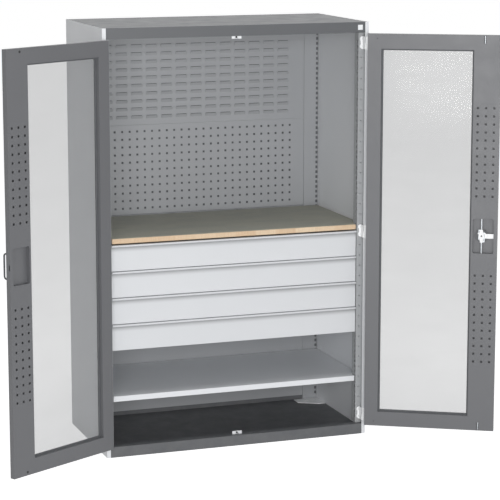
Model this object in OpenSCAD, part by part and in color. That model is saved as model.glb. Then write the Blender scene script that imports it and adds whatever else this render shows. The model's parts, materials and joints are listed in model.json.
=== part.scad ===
// Tool cabinet with two windowed doors, a worktop, four drawers and a shelf.
// Origin: middle of the footprint, on the ground. X runs across, Y from front to back, Z up.
// Each piece is drawn with Y measured from the front plane; from_front() moves it into place.

/* [Cabinet] */
// Overall width of the cabinet
cabinet_w = 1300; // [1100:10:1500]
// Overall depth of the cabinet, without the handles
cabinet_d = 650; // [550:10:800]
// Overall height of the cabinet
cabinet_h = 2000; // [1850:10:2200]
// Thickness of the carcass sheet
sheet_t = 1.5; // [1:0.1:2]
// Width of the strip that each side panel shows at the front
strip_w = 18; // [14:1:24]
// Width of the flange that each side panel turns in at the back
rear_flange_w = 25; // [15:1:40]
// Height of the roof fascia
roof_fascia_h = 50; // [40:1:70]
// Height of the base fascia
base_fascia_h = 50; // [44:1:70]
// Depth of the lips behind the roof and base fascias
lip_d = 42; // [38:1:50]
// Height of the cabinet floor above the ground
floor_z = 20; // [12:1:30]
// Width of the ring that the cabinet stands on
foot_ring_w = 80; // [70:1:100]
// Height of the upstand at the back of the floor
floor_upstand_h = 20; // [10:1:30]

/* [Fixings] */
// Distance from each side to the floor anchor holes
anchor_inset_x = 80; // [72:1:90]
// Distance from the front and the back to the floor anchor holes
anchor_inset_y = 65; // [58:1:70]
// Diameter of the floor anchor holes
anchor_hole_d = 12; // [8:0.5:13]
// Distance between the two wall holes in the rear panel
wall_hole_spacing = 1108; // [1100:1:1116]
// Height of the wall holes below the top of the cabinet
wall_hole_drop = 85; // [80:1:200]
// Diameter of the wall holes
wall_hole_d = 9; // [6:0.5:11]

/* [Posts] */
// Distance from the front plane to the face of the front posts
post_setback = 28.5; // [28:0.1:34]
// Distance from each side of the cabinet to the inner face of the posts
post_inset = 40; // [38:1:48]
// Depth of the web of the front posts
front_post_d = 46; // [36:1:60]
// How far the rear posts reach inwards beyond the front posts
rear_post_flange = 39; // [30:1:42]
// Height of a slot in the posts
slot_h = 14; // [10:1:16]
// Width of a slot in the posts
slot_w = 12; // [5:1:14]
// Distance between two slots
slot_pitch = 25; // [20:1:50]
// Distance from the edge of a post to the middle of its slots
slot_inset = 13; // [10:1:16]
// Distance between two small holes in the face of the front posts
face_hole_pitch = 50; // [25:5:100]
// Side of a small square hole in the face of the front posts
face_hole = 5; // [3:0.5:7]

/* [Back lining] */
// Thickness of the lining sheet
lining_t = 1.2; // [1:0.1:2]
// Distance from the rear panel to the front of the lining
lining_gap = 9; // [7:0.5:12]
// Distance between two rows or columns of holes
hole_pitch = 38; // [34:1:45]
// Side of a square hole
hole_side = 10; // [6:0.5:14]
// Rows of holes in the perforated panel
hole_rows = 11; // [5:1:11]
// Columns of holes in the perforated panel
hole_columns = 27; // [9:2:27]
// Rows of louvres
louvre_rows = 10; // [4:1:10]
// Columns of louvres
louvre_columns = 13; // [5:2:13]
// Width of a louvre
louvre_w = 58; // [40:1:64]
// Height of a louvre
louvre_h = 15; // [10:1:20]
// How far a louvre stands out of its panel
louvre_out = 6; // [4:0.5:8]

/* [Worktop and shelf] */
// Height of the top of the worktop
worktop_z = 1031; // [1001:2:1061]
// Thickness of the worktop
worktop_t = 25; // [20:1:40]
// Height of the top of the shelf
shelf_z = 283; // [200:1:350]
// Height of the shelf's front edge
shelf_edge_h = 25; // [15:1:35]
// Thickness of the shelf sheet
shelf_t = 1.2; // [1:0.1:2]
// Distance from the front plane to the front of the worktop
worktop_setback = 30; // [29:1:40]
// Distance from the front plane to the front of the shelf
shelf_setback = 35; // [30:1:60]
// Space behind the worktop and the shelf
board_back_gap = 10; // [6:1:30]
// Width of the leg that carries a board
rail_leg = 24; // [16:1:40]
// How far a side rail rises above its board
rail_rise = 20; // [14:1:50]

/* [Drawers] */
// Distance from one drawer front to the next
drawer_pitch = 125; // [110:1:130]
// Gap between two drawer fronts
drawer_gap = 3; // [2:0.5:6]
// Space between the worktop and the top drawer
drawer_headroom = 7; // [6:1:12]
// Thickness of the drawer sheet
drawer_t = 1.2; // [0.8:0.1:1.6]
// Distance from the front plane to the nose of the drawer grip
drawer_setback = 27; // [26.5:0.5:30]
// Radius of the grip's rounded nose
grip_r = 4.5; // [3:0.5:6]
// How far the drawer face stands behind the nose of the grip
grip_out = 10; // [6:0.5:12]
// Depth of the folded edges of a drawer front
front_fold = 13; // [12:1:22]
// Depth of a drawer tray
tray_d = 548; // [400:1:550]
// Height of a tray's side walls
tray_wall_h = 92; // [60:1:95]
// Height of the tray's bottom above the bottom of its front
tray_lift = 12; // [8:1:20]
// Height of the runner's middle above the bottom of the drawer front
runner_lift = 44; // [36:1:60]
// Half the height of the drawer's runner member
runner_half_h = 17.5; // [12:0.5:20]
// Thickness of a runner member
runner_t = 1.5; // [1:0.1:1.8]
// Gap between two runner members
runner_gap = 0.5; // [0.3:0.1:0.8]
// Width of a runner from the tray to its web
runner_w = 12; // [10:0.5:13]

/* [Doors] */
// Thickness of a door
door_t = 25; // [24:0.5:25.5]
// Thickness of the door sheet
door_sheet = 1.2; // [0.8:0.1:1.6]
// Gap between a closed door and the fascias
door_gap = 2; // [1.5:0.5:4]
// Gap between a closed door and the strip beside it
hinge_gap = 6; // [6:0.5:8]
// Width of the stile on the free edge
free_stile_w = 125; // [125:1:160]
// Width of the stile on the hinge edge
hinge_stile_w = 65; // [50:1:90]
// Height of the top and bottom rails
door_rail_h = 70; // [60:1:120]
// Thickness of the window pane
pane_t = 3; // [2:0.5:5]
// Width of the bead around the pane
bead_w = 8; // [5:0.5:12]
// Depth of the bead around the pane
bead_t = 4; // [2:0.5:6]
// How far the pane reaches under the frame
pane_lap = 6; // [4:1:10]
// Columns of holes in the free stile
door_hole_columns = 3; // [1:1:3]
// Rows of holes above and below the pocket
door_hole_rows = 12; // [4:1:12]
// Distance from the middle of the pocket to the first row of holes
door_hole_start = 190; // [150:1:220]
// Height of the pocket's middle above the ground
pocket_z = 1000; // [900:5:1050]
// Width of the pocket in the free stile
pocket_w = 98; // [80:1:100]
// Height of the pocket
pocket_h = 166; // [140:1:180]
// Distance from the free edge to the pocket
pocket_inset = 18; // [14:1:22]
// Radius of the pocket's corners
pocket_r = 8; // [4:1:16]
// Angle at which the doors stand open
open_angle = 150; // [90:5:180]

/* [Hinges] */
// Distance from the side of the cabinet to the hinge pins
pivot_inset = 14; // [12:0.5:16]
// Distance from the front plane out to the hinge pins
pivot_out = 6; // [6:0.5:8]
// Radius of a hinge knuckle
knuckle_r = 4.5; // [4:0.1:5]
// Radius of a hinge pin
pin_r = 2.5; // [1.5:0.1:3]
// Radial clearance of a running pin
running_fit = 0.05; // [0.02:0.01:0.09]
// Height of a hinge
hinge_h = 60; // [50:1:80]
// Radius of the two round ends of a frame leaf
lobe_r = 12.5; // [9:0.5:13]
// Thickness of a frame leaf
leaf_t = 2.5; // [2:0.1:2.5]
// Thickness of the hinge arms
arm_t = 1.8; // [1.5:0.1:2]
// Distance from the fascias to the middle of the outer hinges
hinge_end = 49; // [40:1:90]

/* [Lock] */
// Distance from the free edge of the door to the lock axis
lock_inset = 75; // [70:1:80]
// Radius of the dish around the handle
dish_r = 30; // [26:1:31]
// Depth of the dish
dish_d = 12; // [10:0.5:12.5]
// Radius of the spindle
spindle_r = 5; // [4:0.1:5.5]
// Pitch radius of the pinion
pinion_r = 9; // [9:0.1:9.2]
// Teeth of the pinion
pinion_teeth = 12; // [12:1:12]
// Radius of the locking rods
rod_r = 4; // [3:0.1:4]
// Distance from the front plane to the middle of the rods
rod_y = 18; // [17.8:0.1:18.2]
// Length of the grip
grip_l = 48; // [36:1:52]
// How far the grip stands out of the door
grip_stand = 20; // [12:1:30]
// Radius of the key cylinder
key_r = 7; // [5:0.1:8]
// Height of the bolt
bolt_h = 22; // [16:1:24]
// Distance from the free edge to the end of the bolt
bolt_short = 6; // [4:0.5:10]

/* [Pull handle] */
// Height of the pull handle
pull_h = 120; // [90:1:160]
// How far the pull handle stands out of the door
pull_out = 38; // [25:1:50]
// Diameter of the pull handle's rod
pull_d = 8; // [6:0.5:12]
// Distance from the free edge to the pull handle
pull_inset = 20; // [14:1:40]

/* [Hidden] */
$fn = 48;
eps = 0.01;
half_w = cabinet_w / 2;
strip_x = half_w - strip_w;
post_x = half_w - post_inset;
rear_y = cabinet_d - 2 * sheet_t;
lining_y = rear_y - lining_gap;
roof_lip_z = cabinet_h - roof_fascia_h;

lip_upstand_h = 15;
anchor_x = half_w - anchor_inset_x;

slot_margin = 30;
face_hole_x = 15;
front_post_return = 18;
rear_post_gap = 6;
rear_post_y = rear_y - rear_post_gap - sheet_t;
rear_post_x = post_x - rear_post_flange;
upstand_x = rear_post_x - 2;
lining_w = 2 * upstand_x;
rear_slot_inset = 8;

panel_gap = 2;
panel_border = 24;
hole_row_drop = 1;
lining_joint = 0.6;
lining_top = roof_lip_z - 10;
perforated_z0 = worktop_z + 4;
perforated_z1 = perforated_z0 + hole_rows * hole_pitch + panel_border;
louvre_z0 = perforated_z1 + lining_joint;
louvre_bottom_border = 30;
louvre_top_border = 86;
louvre_span = lining_top - louvre_z0 - louvre_bottom_border - louvre_top_border;
louvre_pitch = louvre_span / (louvre_rows - 1);
louvre_lip = 1.4;
louvre_slot_inset = 3;
louvre_slot_rise = 1.5;
wall_hole_x = wall_hole_spacing / 2;
wall_hole_z = cabinet_h - wall_hole_drop;
wall_notch = 14;

strike_w = 47;
strike_block_w = 15;
strike_h = 14;
strike_gap = 0.6;
strike_block_y = door_t + strike_gap + 0.4;
strike_block_d = 6;
buffer_r = 4.5;
buffer_d = 5.4;
small_buffer_r = 6;
left_buffer_inset = 80;
plug_r = 3;
plug_inset = 46;

seat_gap = 2.5;
wall_x = half_w - sheet_t;
board_x = wall_x - sheet_t - seat_gap;
notch_x = post_x - sheet_t - seat_gap;
notch_y = post_setback + front_post_d + seat_gap;
board_edge = 2;
board_back_y = lining_y - board_back_gap;
rail_front_y = notch_y + 3;
rail_back_y = cabinet_d - 20;
rail_corner_cut = 24;
shelf_fold = 14;
gusset_t = 2;
gusset_gap = 1;
gusset_reach = 128;
gusset_depth = 115;
gusset_end_d = 60;
gusset_end_w = 35;
gusset_back_y = rear_y - 14;
plate_side = 24;
plate_t = 0.8;
plate_x = strip_x - 25;
screw_r = 4;
rail_screw_y = 40;
screw_head_t = 2;

drawer_top = worktop_z - worktop_t - drawer_headroom;
front_h = drawer_pitch - drawer_gap;
front_x = post_x - 2;
face_y = drawer_setback + grip_out;
tray_y = face_y + front_fold;
tray_seat = 15;
tray_back_y = tray_y + tray_d;
rail_y = tray_y + 1;
runner_web_gap = 12;
tray_x = post_x - runner_web_gap - runner_w;
bracket_front_d = 22;
bracket_back_d = 60;

door_x0 = door_gap;
door_x1 = strip_x - hinge_gap;
door_z0 = base_fascia_h + door_gap;
door_z1 = roof_lip_z - door_gap;
win_x0 = door_x0 + free_stile_w;
win_x1 = door_x1 - hinge_stile_w;
win_z0 = door_z0 + door_rail_h;
win_z1 = door_z1 - door_rail_h;
stile_mid_x = door_x0 + free_stile_w / 2 + 2;
rod_slot_w = 10;
rod_slot_h = 36;
rod_slot_inset = 22;
face_in_y = door_t - door_sheet;
pan_y = door_sheet + 1.6;
pocket_x = door_x0 + pocket_inset + pocket_w / 2;

pivot_x = half_w - pivot_inset;
pivot_y = -pivot_out;
leaf_y = post_setback - leaf_t;
lobe_offset = 19;
lobe_x = post_x + lobe_offset;
lobe_hole_r = screw_r + 0.1;
leaf_neck = 8;
leaf_bridge = 9;
arm_x = strip_x - 1 - arm_t;
arm_front_y = 2;
knuckle_gap = 0.5;
hinge_zs = [base_fascia_h + hinge_end, (base_fascia_h + roof_lip_z) / 2, roof_lip_z - hinge_end];

lock_x = door_x0 + lock_inset;
rod_hole = 2 * rod_r + 4;
rack_t = 2.8;
rack_low_y = rod_y - 3.4;
rack_high_y = rod_y;
tooth_pitch = 2 * PI * pinion_r / pinion_teeth;
tooth_root_w = 2.1;
tooth_tip_w = 0.9;
tooth_above = 1.2;
tooth_seat = 0.5;
tooth_below = 1.6;
rack_bar = 4;
rack_back = pinion_r + tooth_below + rack_bar;
rack_teeth = 4;
rack_tail = 18;
bolt_clear = 2;
bolt_slot_y0 = rack_high_y - 1.5;
bolt_slot_y1 = rack_high_y + rack_t + 1.5;
bolt_z0 = pocket_z - bolt_h / 2 - bolt_clear;
bolt_z1 = pocket_z + bolt_h / 2 + bolt_clear;
bolt_x = 15.2;
bolt_neck = 4.8;
yoke_z0 = 22;
yoke_z1 = 30;
guide_w = 18;
guide_h = 14;
guide_low = 46;
guide_high = 60;
dish_seat_r = dish_r + door_sheet + 0.2;
dish_rim = 5;
knob_r = dish_r - 3;
knob_y = 2;
cover_y = rod_y + 4.5;
cover_t = 1.2;
cover_w = 22;
cover_h = 62;
cover_flat = 12;
pillar_z = 18;
pillar_r = 3;
wing_t = 11;
key_y0 = -grip_stand - 0.5;
key_y1 = -grip_stand + 13.7;
key_slot = [1.4, 8, 8];

// ---- placing ----

module from_front() {
    translate([0, -cabinet_d / 2, 0]) children();
}

module both_sides() {
    children();
    mirror([1, 0, 0]) children();
}

// A box between two corners
module block(low, high) {
    translate(low) cube(high - low);
}

// A flat outline in X and Z, from y to y + t
module facing(y, t) {
    translate([0, y + t, 0]) rotate([90, 0, 0]) linear_extrude(t) children();
}

// A flat outline in Y and Z, from x to x + t
module sideways(x, t) {
    translate([x, 0, 0]) rotate([90, 0, 90]) linear_extrude(t) children();
}

// A rectangle between two corners
module plate(low, high) {
    translate(low) square(high - low);
}

// Turns the right door, drawn closed, to where it stands open
module swung() {
    from_front() translate([pivot_x, pivot_y, 0]) rotate([0, 0, open_angle])
        translate([-pivot_x, -pivot_y, 0]) children();
}

module rounded_plate(w, h, r) {
    plate([-w / 2 + r, -h / 2], [w / 2 - r, h / 2]);
    plate([-w / 2, -h / 2 + r], [w / 2, h / 2 - r]);
    for (x = [-1, 1], y = [-1, 1]) translate([x * (w / 2 - r), y * (h / 2 - r)]) circle(r);
}

// ---- carcass ----

module side_panel() {
    from_front() {
        block([half_w - sheet_t, 0, 0], [half_w, cabinet_d, cabinet_h]);
        block([strip_x, 0, 0], [half_w, sheet_t, cabinet_h]);
        block([half_w - rear_flange_w, cabinet_d - sheet_t, 0],
            [half_w, cabinet_d, cabinet_h - sheet_t]);
    }
}

module left_side_panel() {
    color("silver") mirror([1, 0, 0]) side_panel();
}

module right_side_panel() {
    color("silver") side_panel();
}

// The hole that a locking rod enters, in a lip at height z
module rod_hole(z) {
    block([lock_x - rod_hole / 2, rod_y - rod_hole / 2, z - 1],
        [lock_x + rod_hole / 2, rod_y + rod_hole / 2, z + sheet_t + 1]);
}

module roof() {
    color("dimgray") from_front() {
        block([-half_w + sheet_t, sheet_t, cabinet_h - sheet_t],
            [half_w - sheet_t, cabinet_d, cabinet_h]);
        block([-strip_x, 0, roof_lip_z], [strip_x, sheet_t, cabinet_h]);
        difference() {
            block([-strip_x, 0, roof_lip_z], [strip_x, lip_d, roof_lip_z + sheet_t]);
            rod_hole(roof_lip_z);
        }
        block([-strip_x, lip_d - sheet_t, roof_lip_z], [strip_x, lip_d, roof_lip_z + lip_upstand_h]);
    }
}

module anchor_holes() {
    for (x = [-anchor_x, anchor_x], y = [anchor_inset_y, cabinet_d - anchor_inset_y])
        translate([x, y, -1]) cylinder(d = anchor_hole_d, h = base_fascia_h);
}

module foot_ring() {
    difference() {
        block([-strip_x, 0, 0], [strip_x, rear_y, sheet_t]);
        block([-strip_x + foot_ring_w, foot_ring_w, -1],
            [strip_x - foot_ring_w, rear_y - foot_ring_w, sheet_t + 1]);
    }
}

module base() {
    color("dimgray") from_front() {
        block([-strip_x, 0, 0], [strip_x, sheet_t, base_fascia_h]);
        difference() {
            block([-strip_x, 0, base_fascia_h - sheet_t], [strip_x, lip_d, base_fascia_h]);
            rod_hole(base_fascia_h - sheet_t);
        }
        block([-strip_x, lip_d - sheet_t, floor_z - sheet_t], [strip_x, lip_d, base_fascia_h]);
        difference() {
            union() {
                block([-half_w + sheet_t, lip_d - sheet_t, floor_z - sheet_t],
                    [half_w - sheet_t, rear_y, floor_z]);
                foot_ring();
            }
            anchor_holes();
        }
        both_sides() block([strip_x - sheet_t, 0, 0], [strip_x, rear_y, floor_z]);
        block([-strip_x, rear_y - sheet_t, 0], [strip_x, rear_y, floor_z]);
        block([-upstand_x, rear_y - sheet_t, floor_z - sheet_t],
            [upstand_x, rear_y, floor_z + floor_upstand_h]);
    }
}

module rear_panel() {
    color("silver") from_front() difference() {
        block([-half_w + sheet_t, rear_y, 0],
            [half_w - sheet_t, rear_y + sheet_t, cabinet_h - sheet_t]);
        for (x = [-1, 1])
            translate([x * wall_hole_x, rear_y - 1, wall_hole_z])
                rotate([-90, 0, 0]) cylinder(d = wall_hole_d, h = sheet_t + 2);
    }
}

// A tall plate with a row of holes: w wide, from z0 to z1, the holes at x
module slotted_plate(w, z0, z1, x, hole_w, hole_h, pitch) {
    difference() {
        plate([0, z0], [w, z1]);
        for (z = [z0 + slot_margin : pitch : z1 - slot_margin])
            translate([x, z]) square([hole_w, hole_h], center = true);
    }
}

module front_post() {
    z0 = base_fascia_h;
    z1 = roof_lip_z;
    face_w = post_inset - sheet_t;
    from_front() {
        translate([post_x, 0, 0]) facing(post_setback, sheet_t)
            slotted_plate(face_w, z0, z1, face_hole_x, face_hole, face_hole, face_hole_pitch);
        translate([0, post_setback, 0]) sideways(post_x, sheet_t)
            slotted_plate(front_post_d, z0, z1, slot_inset, slot_w, slot_h, slot_pitch);
        block([post_x, post_setback + front_post_d - sheet_t, z0],
            [post_x + front_post_return, post_setback + front_post_d, z1]);
    }
}

module front_left_post() {
    color("lightgray") mirror([1, 0, 0]) front_post();
}

module front_right_post() {
    color("lightgray") front_post();
}

module rear_post() {
    z0 = floor_z;
    z1 = cabinet_h - sheet_t;
    w = wall_x - rear_post_x;
    from_front() {
        translate([rear_post_x, 0, 0]) facing(rear_post_y, sheet_t)
            slotted_plate(w, z0, z1, w - rear_slot_inset, slot_w, slot_h, slot_pitch);
        for (x = [rear_post_x, wall_x - sheet_t])
            block([x, rear_post_y, z0], [x + sheet_t, rear_y, z1]);
    }
}

module rear_left_post() {
    color("silver") mirror([1, 0, 0]) rear_post();
}

module rear_right_post() {
    color("silver") rear_post();
}

// ---- back lining ----

// The folded edges of a lining panel, which stand on the rear panel
module lining_edges(z0, z1) {
    x = lining_w / 2;
    both_sides() block([x - lining_t, lining_y, z0], [x, rear_y, z1]);
    block([-x, lining_y, z0], [x, rear_y, z0 + lining_t]);
    block([-x, lining_y, z1 - lining_t], [x, rear_y, z1]);
}

module perforated_panel() {
    first_z = perforated_z0 + (panel_border + hole_pitch) / 2 - hole_row_drop;
    color("darkgray") from_front() {
        facing(lining_y, lining_t) difference() {
            plate([-lining_w / 2, perforated_z0], [lining_w / 2, perforated_z1]);
            for (i = [0 : hole_columns - 1], j = [0 : hole_rows - 1])
                translate([(i - (hole_columns - 1) / 2) * hole_pitch, first_z + j * hole_pitch])
                    square(hole_side, center = true);
        }
        lining_edges(perforated_z0, perforated_z1);
    }
}

function louvre_spot(i, j) =
    [(i - (louvre_columns - 1) / 2) * 2 * hole_pitch, louvre_z0 + louvre_bottom_border + j * louvre_pitch];

// One pressed hood, open at the top, standing out of the lining's face
module louvre_hood() {
    out = louvre_out;
    rotate([90, 0, 90]) {
        translate([0, 0, -louvre_w / 2]) linear_extrude(louvre_w)
            polygon([[0, 0], [-out, louvre_h], [louvre_lip - out, louvre_h], [0, louvre_lip * 2]]);
        for (x = [-louvre_w / 2, louvre_w / 2 - louvre_lip])
            translate([0, 0, x]) linear_extrude(louvre_lip)
                polygon([[0, 0], [-out, louvre_h], [0, louvre_h]]);
    }
}

module louvre_panel() {
    color("darkgray") from_front() difference() {
        union() {
            facing(lining_y, lining_t) difference() {
                plate([-lining_w / 2, louvre_z0], [lining_w / 2, lining_top]);
                for (i = [0 : louvre_columns - 1], j = [0 : louvre_rows - 1]) translate(louvre_spot(i, j))
                    plate([-louvre_w / 2 + louvre_slot_inset, louvre_slot_inset + 1],
                        [louvre_w / 2 - louvre_slot_inset, louvre_h + louvre_slot_rise]);
            }
            for (i = [0 : louvre_columns - 1], j = [0 : louvre_rows - 1])
                translate([louvre_spot(i, j)[0], lining_y + eps, louvre_spot(i, j)[1]]) louvre_hood();
            lining_edges(louvre_z0, lining_top);
        }
        both_sides() block([wall_hole_x - wall_notch, lining_y - 1, wall_hole_z - wall_notch],
            [lining_w / 2 + 1, rear_y + 1, lining_top + 1]);
    }
}

module lower_back_panel() {
    z0 = floor_z + floor_upstand_h + panel_gap;
    z1 = perforated_z0 - panel_gap;
    color("darkgray") from_front() {
        block([-lining_w / 2, lining_y, z0], [lining_w / 2, lining_y + lining_t, z1]);
        lining_edges(z0, z1);
    }
}

// ---- worktop and shelf ----

module worktop() {
    y0 = worktop_setback;
    y1 = board_back_y;
    z0 = worktop_z - worktop_t;
    z1 = worktop_z;
    color("burlywood") from_front() difference() {
        sideways(-board_x, 2 * board_x)
            polygon([[y0 + board_edge, z0], [y1, z0], [y1, z1], [y0 + board_edge, z1],
                [y0, z1 - board_edge], [y0, z0 + board_edge]]);
        both_sides() block([notch_x, y0 - 1, z0 - 1], [board_x + 1, notch_y, z1 + 1]);
    }
}

// A pair of side rails on the side panels: an L under a board whose bottom is at z0 and top at z1
module side_rails(z0, z1) {
    from_front() both_sides() difference() {
        union() {
            block([wall_x - rail_leg, rail_front_y, z0 - sheet_t], [wall_x, rail_back_y, z0]);
            block([wall_x - sheet_t, rail_front_y, z0 - sheet_t], [wall_x, rail_back_y, z1 + rail_rise]);
        }
        translate([wall_x, rail_front_y, z1 + rail_rise]) rotate([45, 0, 0])
            cube([6 * sheet_t, rail_corner_cut, rail_corner_cut], center = true);
    }
}

module worktop_rails() {
    color("silver") side_rails(worktop_z - worktop_t, worktop_z);
}

module shelf_rails() {
    color("silver") side_rails(shelf_z - shelf_edge_h, shelf_z);
}

module shelf() {
    y0 = shelf_setback;
    y1 = board_back_y;
    z0 = shelf_z - shelf_edge_h;
    rib_pitch = (y1 - y0 - shelf_t) / 3;
    color("lightgray") from_front() {
        block([-notch_x, y0, shelf_z - shelf_t], [notch_x, notch_y + shelf_t, shelf_z]);
        block([-board_x, notch_y, shelf_z - shelf_t], [board_x, y1, shelf_z]);
        block([-notch_x, y0, z0], [notch_x, y0 + shelf_fold, z0 + shelf_t]);
        block([-notch_x, y0, z0], [notch_x, y0 + shelf_t, shelf_z]);
        both_sides() {
            block([notch_x - shelf_t, y0, z0], [notch_x, notch_y + shelf_t, shelf_z]);
            block([notch_x - shelf_t, notch_y, z0], [board_x, notch_y + shelf_t, shelf_z]);
            block([board_x - shelf_t, notch_y, z0], [board_x, y1, shelf_z]);
        }
        for (i = [1 : 3])
            block([-board_x, y0 + i * rib_pitch, z0], [board_x, y0 + i * rib_pitch + shelf_t, shelf_z]);
    }
}

module corner_gussets() {
    x1 = wall_x - gusset_gap;
    y1 = gusset_back_y;
    color("lightgray") from_front() both_sides() difference() {
        translate([0, 0, floor_z]) linear_extrude(gusset_t)
            polygon([[x1 - gusset_reach, y1], [x1, y1], [x1, y1 - gusset_depth],
                [x1 - gusset_end_w, y1 - gusset_depth], [x1 - gusset_reach, y1 - gusset_end_d]]);
        anchor_holes();
    }
}

module name_plate() {
    color("white") from_front() facing(-plate_t, plate_t)
        translate([plate_x, cabinet_h - roof_fascia_h / 2]) rounded_plate(plate_side, plate_side, 2);
}

// ---- door stops in the middle of the lips ----

// A strike that stands on z = 0, its plate behind two blocks
module strike() {
    y0 = strike_block_y;
    y1 = y0 + strike_block_d;
    both_sides() block([strike_w / 2 - strike_block_w, y0, 0], [strike_w / 2, y1, strike_h]);
    block([-strike_w / 2, y1 - 1, 0], [strike_w / 2, y1 + 0.5, strike_h]);
}

module strike_buffer() {
    translate([0, door_t + strike_gap, strike_h / 2]) rotate([-90, 0, 0])
        cylinder(r = buffer_r, h = buffer_d);
}

module at_strikes() {
    from_front() {
        translate([0, 0, base_fascia_h]) children();
        translate([0, 0, roof_lip_z]) mirror([0, 0, 1]) children();
    }
}

module door_strikes() {
    color("whitesmoke") at_strikes() strike();
}

module strike_buffers() {
    color("black") at_strikes() strike_buffer();
}

// ---- hinges ----

module lobe_spots() {
    for (z = hinge_zs, s = [-1, 1])
        translate([lobe_x, leaf_y, z + s * (hinge_h / 2 - lobe_r)]) rotate([-90, 0, 0]) children();
}

module frame_leaf(z) {
    x1 = arm_x + arm_t;
    y0 = pivot_y - arm_t / 2;
    z0 = z - hinge_h / 2;
    z1 = z + hinge_h / 2;
    difference() {
        union() {
            block([lobe_x - leaf_neck, leaf_y, z0 + lobe_r], [lobe_x + leaf_neck, post_setback, z1 - lobe_r]);
            block([lobe_x, leaf_y, z - leaf_bridge], [x1, post_setback, z + leaf_bridge]);
            block([arm_x, arm_front_y, z0], [x1, post_setback, z1]);
            block([arm_x, y0, z0], [x1, arm_front_y + eps, z - knuckle_gap]);
            block([arm_x, y0, z0], [pivot_x - pin_r - 0.5, y0 + arm_t, z - knuckle_gap]);
            translate([pivot_x, pivot_y, z0]) cylinder(r = knuckle_r, h = hinge_h / 2 - knuckle_gap);
        }
        translate([pivot_x, pivot_y, z0 - 1]) cylinder(r = pin_r, h = hinge_h);
    }
}

module hinge_frame_leaves() {
    color("whitesmoke") from_front() both_sides() difference() {
        union() {
            for (z = hinge_zs) frame_leaf(z);
            lobe_spots() cylinder(r = lobe_r, h = leaf_t);
        }
        lobe_spots() translate([0, 0, -1]) cylinder(r = lobe_hole_r, h = leaf_t + 2);
    }
}

module hinge_pins() {
    color("whitesmoke") from_front() both_sides() for (z = hinge_zs)
        translate([pivot_x, pivot_y, z - hinge_h / 2]) cylinder(r = pin_r, h = hinge_h - 3);
}

module cabinet_screws() {
    color("gray") from_front() both_sides() {
        lobe_spots() cylinder(r = screw_r, h = leaf_t);
        for (z = [worktop_z, shelf_z], y = [rail_front_y + rail_screw_y, rail_back_y - rail_screw_y])
            translate([wall_x - sheet_t - screw_head_t, y, z + rail_rise / 2]) rotate([0, 90, 0])
                cylinder(r = screw_r, h = screw_head_t);
    }
}

// The three door leaves of the right door, closed
module door_leaves() {
    x1 = door_x1 + arm_t;
    y0 = pivot_y - arm_t / 2;
    y1 = door_t - 3;
    for (z = hinge_zs) difference() {
        z1 = z + hinge_h / 2;
        union() {
            block([door_x1, 0.5, z - hinge_h / 2], [x1, y1, z1]);
            block([door_x1, y0, z + knuckle_gap], [x1, y1, z1]);
            block([door_x1, y0, z + knuckle_gap], [pivot_x - pin_r - 0.5, y0 + arm_t, z1]);
            translate([pivot_x, pivot_y, z + knuckle_gap])
                cylinder(r = knuckle_r, h = hinge_h / 2 - knuckle_gap);
        }
        translate([pivot_x, pivot_y, z - 1]) cylinder(r = pin_r + running_fit, h = hinge_h / 2 + 2);
    }
}

// ---- doors: each piece is the right door's, drawn closed ----

module door_skin() {
    difference() {
        union() {
            facing(0, door_sheet) difference() {
                plate([door_x0, door_z0], [door_x1, door_z1]);
                plate([win_x0 + bead_w, win_z0 + bead_w], [win_x1 - bead_w, win_z1 - bead_w]);
            }
            difference() {
                block([door_x0, 0, door_z0], [door_x1, face_in_y, door_z1]);
                block([door_x0 + door_sheet, -1, door_z0 + door_sheet],
                    [door_x1 - door_sheet, door_t, door_z1 - door_sheet]);
            }
        }
        block([door_x0 - 1, bolt_slot_y0, bolt_z0], [door_x0 + door_sheet + 1, bolt_slot_y1, bolt_z1]);
    }
}

module door_holes() {
    for (i = [0 : door_hole_columns - 1], j = [0 : door_hole_rows - 1], s = [-1, 1])
        translate([stile_mid_x + (i - (door_hole_columns - 1) / 2) * hole_pitch,
            pocket_z + s * (door_hole_start + j * hole_pitch)]) square(hole_side, center = true);
}

module pocket_outline(grow) {
    translate([pocket_x, pocket_z]) rounded_plate(pocket_w + 2 * grow, pocket_h + 2 * grow, pocket_r + grow);
}

// The inner face with the window reveal and the pocket
module door_frame() {
    facing(face_in_y, door_sheet) difference() {
        plate([door_x0, door_z0], [door_x1, door_z1]);
        plate([win_x0, win_z0], [win_x1, win_z1]);
        door_holes();
        pocket_outline(0);
    }
    facing(door_sheet + pane_t, face_in_y - door_sheet - pane_t) difference() {
        plate([win_x0 - door_sheet, win_z0 - door_sheet], [win_x1 + door_sheet, win_z1 + door_sheet]);
        plate([win_x0, win_z0], [win_x1, win_z1]);
    }
    facing(pan_y, face_in_y - pan_y) difference() {
        pocket_outline(door_sheet);
        pocket_outline(0);
    }
    facing(pan_y, door_sheet) pocket_outline(door_sheet);
}

module door_window() {
    facing(door_sheet, pane_t)
        plate([win_x0 - pane_lap, win_z0 - pane_lap], [win_x1 + pane_lap, win_z1 + pane_lap]);
}

module door_gasket() {
    facing(door_sheet + pane_t, bead_t) difference() {
        plate([win_x0, win_z0], [win_x1, win_z1]);
        plate([win_x0 + bead_w, win_z0 + bead_w], [win_x1 - bead_w, win_z1 - bead_w]);
    }
}

module left_door_skin() {
    color("dimgray") mirror([1, 0, 0]) swung() door_skin();
}

module left_door_frame() {
    color("gray") mirror([1, 0, 0]) swung() door_frame();
}

module left_door_window() {
    color("lightgray", 0.4) mirror([1, 0, 0]) swung() door_window();
}

module left_door_gasket() {
    color("black") mirror([1, 0, 0]) swung() door_gasket();
}

module left_door_hinges() {
    color("whitesmoke") mirror([1, 0, 0]) swung() door_leaves();
}

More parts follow.
